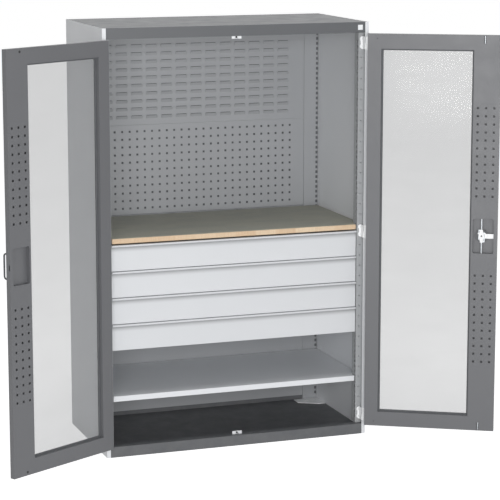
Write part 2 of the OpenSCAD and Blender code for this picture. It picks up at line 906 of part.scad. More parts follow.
// A bow handle: two feet, two legs, two round corners and a grip
module left_door_handle() {
    r = pull_d / 2;
    bend = pull_d * 1.5;
    half = pull_h / 2 - r;
    out = pull_out - r;
    color("dimgray") mirror([1, 0, 0]) swung() translate([door_x0 + pull_inset, 0, pocket_z]) {
        translate([0, -out, -half + bend]) cylinder(r = r, h = 2 * (half - bend));
        for (s = [0, 1]) mirror([0, 0, s]) {
            translate([0, bend - out, half]) rotate([-90, 0, 0]) cylinder(r = r, h = out - bend);
            translate([0, -2, half]) rotate([-90, 0, 0]) cylinder(r = r + 3, h = 2);
            translate([0, bend - out, half - bend]) rotate([0, -90, 0]) rotate([0, 0, -90])
                rotate_extrude(angle = 90) translate([bend, 0]) circle(r);
        }
    }
}

module left_door_buffers() {
    color("black") mirror([1, 0, 0]) swung() for (z = [door_z0 + 15, door_z1 - 15])
        translate([door_x0 + left_buffer_inset, door_t, z]) rotate([-90, 0, 0])
            cylinder(r = small_buffer_r, h = 0.6);
}

module right_door_skin() {
    color("dimgray") swung() difference() {
        door_skin();
        translate([lock_x, -1, pocket_z]) rotate([-90, 0, 0]) cylinder(r = dish_seat_r, h = 4);
        for (z = [door_z0 - 1, door_z1 - door_sheet - 1])
            block([lock_x - rod_hole / 2, rod_y - rod_hole / 2, z],
                [lock_x + rod_hole / 2, face_in_y - 0.3, z + door_sheet + 2]);
    }
}

module right_door_frame() {
    color("gray") swung() difference() {
        door_frame();
        translate([lock_x, pan_y - 1, pocket_z]) rotate([-90, 0, 0])
            cylinder(r = dish_seat_r, h = door_sheet + 2);
        block([door_x0 + 2, bolt_slot_y0, bolt_z0], [door_x0 + pocket_inset + 2, bolt_slot_y1, bolt_z1]);
        for (s = [-1, 1]) translate([lock_x, rod_y, pocket_z + s * pocket_h / 2])
            cube([rod_hole - 2, rod_hole - 2, 8], center = true);
        for (z = [door_z0 + rod_slot_inset, door_z1 - rod_slot_inset])
            translate([lock_x, door_t, z]) cube([rod_slot_w, 4 * door_sheet, rod_slot_h], center = true);
    }
}

module right_door_window() {
    color("lightgray", 0.4) swung() door_window();
}

module right_door_gasket() {
    color("black") swung() door_gasket();
}

module right_door_hinges() {
    color("whitesmoke") swung() door_leaves();
}

module right_door_plugs() {
    color("dimgray") swung() for (z = [door_z0 + rod_slot_inset, door_z1 - rod_slot_inset])
        translate([door_x1 - plug_inset, door_t, z]) rotate([-90, 0, 0]) cylinder(r = plug_r, h = 0.6);
}

// ---- lock on the right door, drawn closed around the lock axis ----

module at_lock() {
    swung() translate([lock_x, 0, pocket_z]) children();
}

// A cylinder along Y from y0 to y1
module barrel(r, y0, y1) {
    translate([0, y0, 0]) rotate([-90, 0, 0]) cylinder(r = r, h = y1 - y0);
}

module lock_dish() {
    color("dimgray") at_lock() difference() {
        union() {
            barrel(dish_r + dish_rim, -door_sheet, 0);
            barrel(dish_r + door_sheet, -door_sheet, dish_d + door_sheet);
        }
        barrel(dish_r, -door_sheet - 1, dish_d);
        barrel(spindle_r + running_fit, 0, dish_d + 5);
    }
}

module cover_outline() {
    x = cover_w / 2;
    y = cover_h / 2;
    f = cover_flat / 2;
    polygon([[-x, -f], [-x, f], [-f, y], [f, y], [x, f], [x, -f], [f, -y], [-f, -y]]);
}

// The cover over the racks, on two pillars
module lock_case() {
    color("whitesmoke") at_lock() {
        facing(cover_y, cover_t) difference() {
            cover_outline();
            circle(spindle_r - 1);
        }
        for (s = [-1, 1]) translate([0, 0, s * pillar_z]) barrel(pillar_r, dish_d + door_sheet, cover_y);
    }
}

// One guide for a rod, behind the slot in the inner face
module rod_guides() {
    color("lightgray") swung() for (z = [door_z0 + guide_low, door_z1 - guide_high]) difference() {
        block([lock_x - guide_w / 2, rod_y - rod_r - 2.5, z], [lock_x + guide_w / 2, face_in_y, z + guide_h]);
        translate([lock_x, rod_y, z - 1]) cylinder(r = rod_r + running_fit, h = guide_h + 2);
    }
}

module tooth() {
    tip = tooth_seat + tooth_below + tooth_above;
    polygon([[-tooth_root_w / 2, 0], [-tooth_root_w / 2, tooth_seat], [-tooth_tip_w / 2, tip],
        [tooth_tip_w / 2, tip], [tooth_root_w / 2, tooth_seat], [tooth_root_w / 2, 0]]);
}

module pinion_outline() {
    root = pinion_r - tooth_below;
    circle(root);
    for (i = [0 : pinion_teeth - 1]) rotate(i * 360 / pinion_teeth) translate([0, root - tooth_seat]) tooth();
}

// The space between two teeth of a rack, on the pitch line y = 0
module tooth_space() {
    root = (tooth_pitch - tooth_root_w) / 2;
    tip = (tooth_pitch - tooth_tip_w) / 2;
    polygon([[-root, -tooth_below], [-tip, tooth_above], [-tip, tooth_above + 1],
        [tip, tooth_above + 1], [tip, tooth_above], [root, -tooth_below]]);
}

// A rack below the pitch line y = 0, with its teeth up
module rack_outline(left, right) {
    difference() {
        plate([left, -tooth_below - rack_bar], [right, tooth_above]);
        for (i = [-rack_teeth : rack_teeth]) translate([i * tooth_pitch, 0]) tooth_space();
        plate([rack_teeth * tooth_pitch, -tooth_below], [right + 1, tooth_above + 1]);
    }
}

module lock_handle() {
    color("dimgray") at_lock() difference() {
        union() {
            barrel(knob_r, knob_y, dish_d - 3);
            barrel(key_r + 4, -grip_stand, knob_y + 1);
            facing(-grip_stand, grip_stand + knob_y + 1) {
                square([wing_t, grip_l - wing_t], center = true);
                for (s = [-1, 1]) translate([0, s * (grip_l - wing_t) / 2]) circle(wing_t / 2);
            }
            barrel(spindle_r, dish_d - 4, rack_high_y + rack_t + 0.6);
            facing(rack_low_y - 0.2, rack_high_y + rack_t - rack_low_y + 0.6) pinion_outline();
        }
        barrel(key_r + running_fit, -grip_stand - 1, -grip_stand + 14);
    }
}

module lock_cylinder() {
    color("lightgray") at_lock() difference() {
        barrel(key_r, key_y0, key_y1);
        translate([0, key_y0, 0]) cube([key_slot[0], 2 * key_slot[1], key_slot[2]], center = true);
    }
}

// A rack beside the pinion with the yoke that carries a rod, drawn for the rod that goes up
module rack() {
    facing(rack_low_y, rack_t) {
        translate([pinion_r, 0]) rotate(90) rack_outline(-rack_tail, yoke_z1);
        plate([-rod_r, yoke_z0], [rack_back, yoke_z1]);
    }
}

// A rod with a foot that lies against the yoke
module rod(reach) {
    block([-rod_r, rack_low_y + rack_t, yoke_z0], [rod_r, rod_y + rod_r, yoke_z1]);
    translate([0, rod_y, yoke_z1]) cylinder(r = rod_r, h = reach - yoke_z1);
}

module upper_rack() {
    color("lightgray") at_lock() rack();
}

module lower_rack() {
    color("lightgray") at_lock() rotate([0, 180, 0]) rack();
}

module upper_rod() {
    color("whitesmoke") at_lock() rod(door_z1 - pocket_z - 1);
}

module lower_rod() {
    color("whitesmoke") at_lock() rotate([0, 180, 0]) rod(pocket_z - door_z0 - 1);
}

// The bolt that goes towards the free edge, with its rack over the pinion
module side_bolt() {
    end = lock_inset - bolt_short;
    color("whitesmoke") at_lock() facing(rack_high_y, rack_t) {
        translate([0, pinion_r]) rotate(180) rack_outline(-rack_tail, rack_tail + 1);
        plate([-bolt_x - bolt_neck, -bolt_h / 2], [-bolt_x, rack_back]);
        plate([-end, -bolt_h / 2], [-bolt_x, bolt_h / 2]);
    }
}

// ---- drawers: each is drawn with the bottom of its front at z = 0 ----

module at_drawer(n) {
    from_front() translate([0, 0, drawer_top - (n - 1) * drawer_pitch - front_h]) children();
}

module drawer_front() {
    top = front_h;
    nose_y = drawer_setback + grip_r;
    in_y = face_y + drawer_t;
    grip_z = top - 2 * grip_r;
    sideways(-front_x, 2 * front_x) {
        translate([nose_y, top - grip_r]) circle(grip_r);
        plate([nose_y, grip_z], [in_y, top]);
        plate([face_y, 0], [in_y, top]);
        plate([face_y, 0], [tray_y, drawer_t]);
        plate([face_y, top - drawer_t], [tray_y, top]);
    }
    both_sides() {
        block([front_x - drawer_t, face_y, 0], [front_x, tray_y, top]);
        block([tray_x - tray_seat, tray_y - drawer_t, 0], [front_x, tray_y, top]);
    }
}

// A runner member: web at x, legs towards -X (way = -1) or +X (way = 1)
module channel(x, way, leg, half_h) {
    x0 = way > 0 ? x : x - leg;
    open_x0 = way > 0 ? x + runner_t : x0 - 1;
    open_x1 = way > 0 ? x + leg + 1 : x - runner_t;
    facing(rail_y, tray_back_y - rail_y) difference() {
        plate([x0, -half_h], [x0 + leg, half_h]);
        plate([open_x0, -half_h + runner_t], [open_x1, half_h - runner_t]);
    }
}

module drawer_tray() {
    z0 = tray_lift;
    z1 = tray_lift + tray_wall_h;
    difference() {
        block([-tray_x, tray_y, z0], [tray_x, tray_back_y, z1]);
        block([-tray_x + drawer_t, tray_y + drawer_t, z0 + drawer_t],
            [tray_x - drawer_t, tray_back_y - drawer_t, z1 + 1]);
    }
    translate([0, 0, runner_lift]) both_sides() channel(tray_x, 1, runner_w - 2 * runner_t, runner_half_h);
}

module drawer_runner() {
    half_h = runner_half_h + runner_gap + runner_t;
    translate([0, 0, runner_lift]) both_sides() channel(tray_x + runner_w, -1, runner_w - 2 * runner_t, half_h);
}

module drawer_front_n(n) {
    color("gainsboro") at_drawer(n) drawer_front();
}

module drawer_tray_n(n) {
    color("gainsboro") at_drawer(n) drawer_tray();
}

module drawer_runner_n(n) {
    color("lightgray") at_drawer(n) drawer_runner();
}

// The fixed runner members with the brackets that hold them on the posts
module drawer_rails() {
    half_h = runner_half_h + 2 * (runner_gap + runner_t);
    web_x = tray_x + runner_w + runner_gap + runner_t;
    color("lightgray") for (n = [1 : 4]) at_drawer(n) translate([0, 0, runner_lift]) both_sides() {
        channel(web_x, -1, runner_w - 2, half_h);
        block([web_x - eps, rail_y, -half_h], [post_x, rail_y + bracket_front_d, half_h]);
        block([web_x - eps, tray_back_y - bracket_back_d, -half_h], [post_x, rear_post_y, half_h]);
    }
}

left_side_panel();
right_side_panel();
roof();
base();
rear_panel();
front_left_post();
front_right_post();
rear_left_post();
rear_right_post();
louvre_panel();
perforated_panel();
lower_back_panel();
worktop();
worktop_rails();
shelf();
shelf_rails();
corner_gussets();
door_strikes();
strike_buffers();
hinge_frame_leaves();
hinge_pins();
cabinet_screws();
name_plate();
drawer_rails();
left_door_skin();
left_door_frame();
left_door_window();
left_door_gasket();
left_door_hinges();
left_door_handle();
left_door_buffers();
right_door_skin();
right_door_frame();
right_door_window();
right_door_gasket();
right_door_hinges();
right_door_plugs();
rod_guides();
lock_dish();
lock_case();
lock_handle();
lock_cylinder();
upper_rod();
upper_rack();
lower_rod();
lower_rack();
side_bolt();
drawer_front_n(1);  // drawer_1_front
drawer_tray_n(1);  // drawer_1_tray
drawer_runner_n(1);  // drawer_1_runners
drawer_front_n(2);  // drawer_2_front
drawer_tray_n(2);  // drawer_2_tray
drawer_runner_n(2);  // drawer_2_runners
drawer_front_n(3);  // drawer_3_front
drawer_tray_n(3);  // drawer_3_tray
drawer_runner_n(3);  // drawer_3_runners
drawer_front_n(4);  // drawer_4_front
drawer_tray_n(4);  // drawer_4_tray
drawer_runner_n(4);  // drawer_4_runners
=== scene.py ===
"""Looks of a tool cabinet with two windowed doors, a worktop, four drawers and a shelf."""

import json
import math

import bmesh
import bpy
from bpy.props import FloatProperty, FloatVectorProperty, IntProperty, PointerProperty
from mathutils import Matrix, Vector


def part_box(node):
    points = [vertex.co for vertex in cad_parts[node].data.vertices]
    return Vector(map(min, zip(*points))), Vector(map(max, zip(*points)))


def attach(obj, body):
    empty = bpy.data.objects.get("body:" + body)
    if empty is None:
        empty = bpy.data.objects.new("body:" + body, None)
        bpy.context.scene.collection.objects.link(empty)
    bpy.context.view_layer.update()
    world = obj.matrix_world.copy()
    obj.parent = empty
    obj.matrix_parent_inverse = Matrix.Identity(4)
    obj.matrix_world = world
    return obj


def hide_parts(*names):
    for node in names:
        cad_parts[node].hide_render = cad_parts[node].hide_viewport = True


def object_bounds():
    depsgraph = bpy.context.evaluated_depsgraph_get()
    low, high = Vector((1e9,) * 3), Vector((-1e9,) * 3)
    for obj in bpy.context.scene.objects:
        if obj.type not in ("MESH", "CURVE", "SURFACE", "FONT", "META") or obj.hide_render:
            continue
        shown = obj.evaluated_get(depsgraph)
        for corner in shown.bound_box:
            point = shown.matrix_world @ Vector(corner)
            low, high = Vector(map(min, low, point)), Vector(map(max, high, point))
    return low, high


bl_info = {
    "name": "Tool cabinet with doors",
    "version": (1, 0, 0),
    "blender": (4, 5, 0),
    "location": "View3D > Sidebar > Cabinet",
    "description": "Finishes, small parts and studio of a steel tool cabinet",
    "category": "Object",
}

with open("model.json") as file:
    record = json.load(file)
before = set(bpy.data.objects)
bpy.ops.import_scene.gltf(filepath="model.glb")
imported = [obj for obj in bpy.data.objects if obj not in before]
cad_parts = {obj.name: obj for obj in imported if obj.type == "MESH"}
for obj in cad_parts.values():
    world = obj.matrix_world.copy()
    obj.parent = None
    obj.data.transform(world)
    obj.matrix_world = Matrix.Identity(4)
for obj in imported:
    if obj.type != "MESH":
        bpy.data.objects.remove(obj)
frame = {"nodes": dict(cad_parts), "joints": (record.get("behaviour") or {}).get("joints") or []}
cad_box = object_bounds()
joints = {j["name"]: j for j in frame["joints"]}

# Where the small parts stand, in metres; a door's own points are given with the door closed
FRONT_Y = -0.325
BACK_Y = 0.325
DOOR_OPEN = math.radians(150)
DOOR_INNER_Y = 0.025
STRIKE_Y = 0.0256
WINDOW_X = (0.127, 0.561)
WINDOW_Z = (0.122, 1.878)
POST_NOTCH = (0.606, -0.248)
BUFFER_SPOTS = [(0.082, 0.067), (0.082, 1.933)]
PLUG_SPOTS = [(0.580, 0.074), (0.580, 1.926)]
STRIKE_ZS = (0.057, 1.943)
HINGE_ZS = (0.099, 1.0, 1.901)
HINGE_SCREW_X = 0.629
HINGE_SCREW_Y = -0.2965
HINGE_SCREW_STEP = 0.0175
RAIL_SCREW_X = 0.647
RAIL_SCREW_YS = (0.12 + FRONT_Y, 0.59 + FRONT_Y)
RAIL_SCREW_ZS = (1.041, 0.293)
RAIL_HEAD_RISE = 0.002
RIVET_X = 0.637
RIVET_Z0 = 0.09
RIVET_SPAN = 1.82
RIVET_RISE = 0.0012
RIVET_STEPS = 16

# Profiles of turned parts: radius and rise
BUFFER_DOME = [(0.0055, 0.0), (0.006, 0.0002), (0.0053, 0.0005), (0.0036, 0.0006), (0.0014, 0.0006)]
STRIKE_DOME = [(0.0045, 0.0054), (0.0045, 0.0014), (0.0041, 0.0006), (0.003, 0.0001), (0.0012, 0.0)]
SCREW_HEAD = [
    (0.004, 0.0),
    (0.004, 0.45),
    (0.0037, 0.8),
    (0.003, 1.0),
    (0.0022, 1.0),
    (0.002, 0.45),
    (0.0004, 0.45),
]
RIVET_DOME = [(1.0, 0.0), (0.92, 0.35), (0.7, 0.7), (0.4, 0.92), (0.1, 1.0)]
PLATE_RINGS = [(1.0, 0.0), (1.0, 0.7), (0.95, 1.0), (0.88, 1.0), (0.84, 0.72), (0.0, 0.72)]
PLATE_RISE = 0.0008
SQUARE = ((-1, -1), (1, -1), (1, 1), (-1, 1))

# Tones that the finishes share
RUBBED_TONE = (0.82, 0.82, 0.82, 1)
BLOOM_TONE = (0.5, 0.5, 0.5, 1)
DUST_TONE = (0.55, 0.52, 0.48, 1)
# painted shadow: the near-black tone blended under each drawer grip
GRIP_SHADOW_TONE = (0.03, 0.032, 0.036, 1)


def srgb(code):
    """A colour written as #rrggbb, as linear red, green and blue."""
    parts = [int(code[i : i + 2], 16) / 255 for i in (1, 3, 5)]
    return tuple(p / 12.92 if p <= 0.04045 else ((p + 0.055) / 1.055) ** 2.4 for p in parts)


def colour_property(name, description, code):
    return FloatVectorProperty(
        name=name, description=description, subtype="COLOR", size=3, min=0, max=1, default=srgb(code)
    )


def length_property(name, description, default):
    return FloatProperty(
        name=name, description=description, default=default, min=0, unit="LENGTH", precision=4
    )


def power_property(name, description, default):
    return FloatProperty(name=name, description=description, default=default, min=0, unit="POWER")


def angle_property(name, description, degrees):
    return FloatProperty(name=name, description=description, default=math.radians(degrees), subtype="ANGLE")


# ---- what a user would change ----


class CabinetFinishes(bpy.types.PropertyGroup):
    """Colours of the cabinet."""

    carcass: colour_property("Carcass paint", "Paint of the side panels and the shelf", "#e0e2e5")
    post: colour_property("Post paint", "Paint of the front posts", "#a3a5a7")
    dark: colour_property("Dark paint", "Paint of the roof and the base", "#56585b")
    door: colour_property("Door paint", "Paint of the doors", "#636467")
    lining: colour_property("Lining paint", "Paint of the back lining and the rear posts", "#989a9d")
    drawer: colour_property("Drawer paint", "Paint of the drawer fronts", "#d3d5d8")
    # The rear panel's paint, kept dark as painted shade seen through the lining's holes.
    rear: colour_property("Rear paint", "Paint of the rear panel", "#5a5b5f")
    wood_light: colour_property("Pale wood", "Palest staves of the worktop", "#e0cdb1")
    wood_dark: colour_property("Dark wood", "Darkest staves of the worktop", "#c8a988")
    zinc: colour_property("Zinc", "Zinc-plated fittings", "#e4e6e8")
    hinge: colour_property("Hinge", "Plating of the hinges", "#f0f1f2")
    cover: colour_property("Cover", "Palest tone of the worktop's cover", "#aaa898")
    cover_dark: colour_property("Dark cover", "Darkest tone of the worktop's cover", "#9c9d92")
    tray: colour_property("Tray zinc", "Galvanized trays and runners", "#b9bdc1")
    rubber: colour_property("Rubber", "Buffers", "#131415")
    bead: colour_property("Bead", "Beads around the window panes", "#505255")
    handle: colour_property("Handle", "Handles and the lock dish", "#45474a")
    pane: colour_property("Pane", "Tint of the window panes", "#77797c")
    plate: colour_property("Name plate", "Paint of the bare name plate", "#eceef0")
    floor: colour_property("Floor", "Studio floor", "#e8e8e8")


class CabinetSizes(bpy.types.PropertyGroup):
    """Sizes of the small parts that the looks add."""

    worktop_edge: length_property("Worktop edge", "Radius of the worktop's edges", 0.003)
    cover_depth: length_property("Cover", "Thickness of the worktop's cover", 0.0015)
    bead_round: length_property("Bead radius", "Radius of the window bead's inner edge", 0.003)
    head_rise: length_property("Screw head", "Height of a screw head", 0.0024)
    rivet_pitch: length_property("Rivet pitch", "Distance between two rivets at the back", 0.152)
    rivet_radius: length_property("Rivet radius", "Radius of a rivet head", 0.004)
    round_steps: IntProperty(
        name="Round steps", description="Steps around a round part", default=32, min=8, max=96
    )


class CabinetStudio(bpy.types.PropertyGroup):
    """Lamps and camera of the studio."""

    front_power: power_property("Front lamp", "Power of the front lamp", 420)
    top_power: power_property("Top lamp", "Power of the top lamp", 95)
    sky: FloatProperty(name="Sky", description="Strength of the even light all around", default=0.31, min=0)
    floor_glow: FloatProperty(
        name="Floor glow", description="How much the floor whitens for the camera", default=0.75, min=0
    )
    focal: FloatProperty(name="Focal length", description="Lens of the camera in mm", default=143.9, min=10)
    camera_yaw: angle_property("Yaw", "Turn of the camera", 19.511)
    camera_pitch: angle_property("Pitch", "Downward tilt", 9.808)
    camera_place: FloatVectorProperty(
        name="Place",
        description="Where the camera stands",
        size=3,
        subtype="TRANSLATION",
        default=(-3.0281, -9.0295, 2.66),
    )
    camera_shift: FloatProperty(name="Shift", description="Vertical shift of the lens", default=-0.05)


# ---- shader building ----


def add_node(tree, kind, inputs=None, **settings):
    """A shader node; an input that is a socket is linked, any other is set."""
    made = tree.nodes.new(kind)
    for key, value in settings.items():
        setattr(made, key, value)
    for key, value in (inputs or {}).items():
        if isinstance(value, bpy.types.NodeSocket):
            tree.links.new(value, made.inputs[key])
        else:
            made.inputs[key].default_value = value
    return made


def math_node(tree, operation, a, b=0.0, clamp=False):
    return add_node(tree, "ShaderNodeMath", {0: a, 1: b}, operation=operation, use_clamp=clamp).outputs[0]


def blend_colours(tree, factor, a, b, mode="MIX"):
    made = add_node(tree, "ShaderNodeMix", {"Factor": factor}, data_type="RGBA", blend_type=mode)
    for socket, value in ((made.inputs[6], a), (made.inputs[7], b)):
        if isinstance(value, bpy.types.NodeSocket):
            tree.links.new(value, socket)
        else:
            socket.default_value = value
    return made.outputs[2]


def ramp_value(tree, value, low, high, out_low=0.0, out_high=1.0):
    inputs = {"Value": value, "From Min": low, "From Max": high, "To Min": out_low, "To Max": out_high}
    return add_node(tree, "ShaderNodeMapRange", inputs).outputs["Result"]


def noise(tree, vector, scale, detail=2.0, roughness=0.5):
    inputs = {"Vector": vector, "Scale": scale, "Detail": detail, "Roughness": roughness}
    return add_node(tree, "ShaderNodeTexNoise", inputs).outputs[0]


def stretched(tree, scale):
    """The object's own coordinates, scaled apart along each axis."""
    place = add_node(tree, "ShaderNodeTexCoord").outputs["Object"]
    return add_node(tree, "ShaderNodeMapping", {"Vector": place, "Scale": scale}).outputs["Vector"]


def new_group(name, inputs, outputs):
    """A shader node group with named sockets; each is (name, kind, default)."""
    tree = bpy.data.node_groups.new(name, "ShaderNodeTree")
    for label, kind, default in inputs:
        socket = tree.interface.new_socket(name=label, in_out="INPUT", socket_type=kind)
        socket.default_value = default
    for label, kind in outputs:
        tree.interface.new_socket(name=label, in_out="OUTPUT", socket_type=kind)
    return tree, tree.nodes.new("NodeGroupInput").outputs, tree.nodes.new("NodeGroupOutput")


def close_group(tree, end, **results):
    for label, socket in results.items():
        tree.links.new(socket, end.inputs[label])


COLOUR, VALUE = "NodeSocketColor", "NodeSocketFloat"


def make_powder_coat():
    """Baked powder paint: a fine orange peel, broad unevenness and a few rubbed places."""
    tree, given, end = new_group(
        "Powder Coat",
        [
            ("Paint", COLOUR, (0.5, 0.5, 0.5, 1)),
            ("Unevenness", VALUE, 0.06),
            ("Rubbing", VALUE, 0.04),
            ("Gloss", VALUE, 0.42),
        ],
        [("Color", COLOUR), ("Roughness", VALUE), ("Height", VALUE)],
    )
    place = stretched(tree, (1, 1, 1))
    broad = noise(tree, place, scale=2.3, detail=3)
    cloud = noise(tree, place, scale=11, detail=4, roughness=0.6)
    peel = noise(tree, place, scale=620, detail=1)
    scuffs = noise(tree, stretched(tree, (3, 3, 14)), scale=6, detail=6, roughness=0.7)
    rubbed = ramp_value(tree, scuffs, 0.62, 0.8)
    broad_part = math_node(tree, "MULTIPLY", broad, 0.65)
    shade = math_node(tree, "ADD", broad_part, math_node(tree, "MULTIPLY", cloud, 0.35))
    swing = math_node(tree, "MULTIPLY", ramp_value(tree, shade, 0.3, 0.7, -1, 1), given["Unevenness"])
    value = math_node(tree, "ADD", swing, 1.0)
    tone = add_node(tree, "ShaderNodeHueSaturation", {"Color": given["Paint"], "Value": value})
    worn = math_node(tree, "MULTIPLY", rubbed, given["Rubbing"])
    colour = blend_colours(tree, worn, tone.outputs[0], RUBBED_TONE)
    rough = math_node(tree, "ADD", given["Gloss"], ramp_value(tree, cloud, 0.3, 0.7, -0.05, 0.07))
    rough = math_node(tree, "ADD", rough, math_node(tree, "MULTIPLY", rubbed, 0.08), clamp=True)
    height = math_node(tree, "ADD", peel, math_node(tree, "MULTIPLY", cloud, 0.4))
    close_group(tree, end, Color=colour, Roughness=rough, Height=height)
    return tree


def make_zinc_plate():
    """Zinc plating: soft crystals, drawn streaks and a changing gloss."""
    tree, given, end = new_group(
        "Zinc Plate",
        [
            ("Metal", COLOUR, (0.7, 0.7, 0.7, 1)),
            ("Crystals", VALUE, 0.1),
            ("Streaks", VALUE, 0.1),
            ("Gloss", VALUE, 0.35),
        ],
        [("Color", COLOUR), ("Roughness", VALUE), ("Height", VALUE)],
    )
    place = stretched(tree, (1, 1, 1))
    cells = add_node(tree, "ShaderNodeTexVoronoi", {"Vector": place, "Scale": 120.0}).outputs["Color"]
    cells = add_node(tree, "ShaderNodeSeparateColor", {"Color": cells}).outputs[0]
    drawn = noise(tree, stretched(tree, (4, 90, 90)), scale=9, detail=3, roughness=0.6)
    swing = math_node(tree, "MULTIPLY", ramp_value(tree, cells, 0, 1, -1, 1), given["Crystals"])
    drift = math_node(tree, "MULTIPLY", ramp_value(tree, drawn, 0.3, 0.7, -1, 1), given["Streaks"])
    value = math_node(tree, "ADD", math_node(tree, "ADD", swing, drift), 1.0)
    tone = add_node(tree, "ShaderNodeHueSaturation", {"Color": given["Metal"], "Value": value})
    rough = math_node(tree, "ADD", given["Gloss"], math_node(tree, "MULTIPLY", drift, 0.9), clamp=True)
    close_group(tree, end, Color=tone.outputs[0], Roughness=rough, Height=drawn)
    return tree


def make_glued_staves():
    """Glued beech staves: long strips of differing tone with fine grain and dark pores."""
    tree, given, end = new_group(
        "Glued Staves",
        [
            ("Pale", COLOUR, (0.8, 0.65, 0.45, 1)),
            ("Dark", COLOUR, (0.6, 0.4, 0.25, 1)),
            ("Stave Length", VALUE, 0.1),
            ("Stave Width", VALUE, 0.042),
        ],
        [("Color", COLOUR), ("Roughness", VALUE), ("Height", VALUE)],
    )
    place = add_node(tree, "ShaderNodeTexCoord").outputs["Object"]
    axes = add_node(tree, "ShaderNodeSeparateXYZ", {"Vector": place}).outputs
    row = math_node(tree, "FLOOR", math_node(tree, "DIVIDE", axes["Y"], given["Stave Width"]))
    slide = math_node(tree, "MULTIPLY", row, 0.37)
    along = math_node(tree, "ADD", math_node(tree, "DIVIDE", axes["X"], given["Stave Length"]), slide)
    column = math_node(tree, "FLOOR", along)
    spot = add_node(tree, "ShaderNodeCombineXYZ", {"X": column, "Y": row}).outputs[0]
    tone = add_node(tree, "ShaderNodeTexWhiteNoise", {"Vector": spot}).outputs["Value"]
    apart = {0: spot, 1: (3.1, 1.7, 0.9)}
    shift = add_node(tree, "ShaderNodeVectorMath", apart, operation="MULTIPLY").outputs[0]
    fibres = {0: stretched(tree, (70, 60, 5)), 1: shift}
    wood = add_node(tree, "ShaderNodeVectorMath", fibres, operation="ADD").outputs[0]
    grain = noise(tree, wood, scale=3.2, detail=5, roughness=0.62)
    pits = noise(tree, stretched(tree, (40, 900, 900)), scale=1.0, detail=2)
    pores = ramp_value(tree, pits, 0.62, 0.72)
    stave_part = math_node(tree, "MULTIPLY", tone, 0.62)
    mix = math_node(tree, "ADD", stave_part, ramp_value(tree, grain, 0.3, 0.7, 0, 0.38))
    colour = blend_colours(tree, mix, given["Pale"], given["Dark"])
    colour = blend_colours(tree, math_node(tree, "MULTIPLY", pores, 0.25), colour, given["Dark"], "MULTIPLY")
    rough = ramp_value(tree, grain, 0.3, 0.7, 0.42, 0.56)
    height = math_node(tree, "SUBTRACT", grain, pores)
    close_group(tree, end, Color=colour, Roughness=rough, Height=height)
    return tree


def make_moulded_skin():
    """Moulded rubber or plastic: a fine leathery skin with a dusty bloom."""
    tree, given, end = new_group(
        "Moulded Skin",
        [("Tint", COLOUR, (0.05, 0.05, 0.05, 1)), ("Bloom", VALUE, 0.12), ("Gloss", VALUE, 0.55)],
        [("Color", COLOUR), ("Roughness", VALUE), ("Height", VALUE)],
    )
    place = stretched(tree, (1, 1, 1))
    skin = add_node(tree, "ShaderNodeTexVoronoi", {"Vector": place, "Scale": 900.0}).outputs["Distance"]
    dust = ramp_value(tree, noise(tree, place, scale=24, detail=4, roughness=0.6), 0.42, 0.75)
    bloom = math_node(tree, "MULTIPLY", dust, given["Bloom"])
    colour = blend_colours(tree, bloom, given["Tint"], BLOOM_TONE)
    rough = math_node(tree, "ADD", given["Gloss"], math_node(tree, "MULTIPLY", dust, 0.12), clamp=True)
    close_group(tree, end, Color=colour, Roughness=rough, Height=skin)
    return tree


def make_foot_dust():
    """A pale haze that gathers on what lies low."""
    inputs = [("Reach", VALUE, 0.09), ("Amount", VALUE, 0.1)]
    tree, given, end = new_group("Foot Dust", inputs, [("Mask", VALUE)])
    place = add_node(tree, "ShaderNodeTexCoord").outputs["Object"]
    height = add_node(tree, "ShaderNodeSeparateXYZ", {"Vector": place}).outputs["Z"]
    low = math_node(tree, "SUBTRACT", 1.0, math_node(tree, "DIVIDE", height, given["Reach"]), clamp=True)
    cloud = noise(tree, stretched(tree, (1, 1, 1)), scale=17, detail=4, roughness=0.65)
    patch = ramp_value(tree, cloud, 0.35, 0.7)
    mask = math_node(tree, "MULTIPLY", math_node(tree, "MULTIPLY", low, patch), given["Amount"], clamp=True)
    close_group(tree, end, Mask=mask)
    return tree


def make_grip_shade():
    """A painted shadow: a grey band under the grip of each drawer that fades downwards."""
    tree, given, end = new_group(
        "Grip Shade",
        [
            ("Top", VALUE, 0.999),
            ("Pitch", VALUE, 0.125),
            ("Lip", VALUE, 0.0095),
            ("Reach", VALUE, 0.036),
            ("Depth", VALUE, 0.68),
        ],
        [("Mask", VALUE)],
    )
    place = add_node(tree, "ShaderNodeTexCoord").outputs["Object"]
    height = add_node(tree, "ShaderNodeSeparateXYZ", {"Vector": place}).outputs["Z"]
    depth = math_node(tree, "SUBTRACT", given["Top"], height)
    drop = math_node(tree, "FLOORED_MODULO", depth, given["Pitch"])
    below = math_node(tree, "SUBTRACT", drop, given["Lip"])
    under = math_node(tree, "GREATER_THAN", below, 0.0)
    reach = math_node(tree, "SUBTRACT", given["Reach"], given["Lip"])
    fade = math_node(tree, "SUBTRACT", 1.0, math_node(tree, "DIVIDE", below, reach), clamp=True)
    soft = math_node(tree, "POWER", fade, 1.6)
    mask = math_node(tree, "MULTIPLY", math_node(tree, "MULTIPLY", soft, under), given["Depth"])
    close_group(tree, end, Mask=mask)
    return tree


groups = {}
materials = {}


def shader_group(key):
    makers = {
        "powder": make_powder_coat,
        "zinc": make_zinc_plate,
        "staves": make_glued_staves,
        "skin": make_moulded_skin,
        "dust": make_foot_dust,
        "grip": make_grip_shade,
    }
    if key not in groups:
        groups[key] = makers[key]()
    return groups[key]


def start_material(name):
    made = bpy.data.materials.new(name)
    made.use_nodes = True
    tree = made.node_tree
    tree.nodes.clear()
    shader = tree.nodes.new("ShaderNodeBsdfPrincipled")
    end = tree.nodes.new("ShaderNodeOutputMaterial")
    tree.links.new(shader.outputs[0], end.inputs["Surface"])
    return made, tree, shader


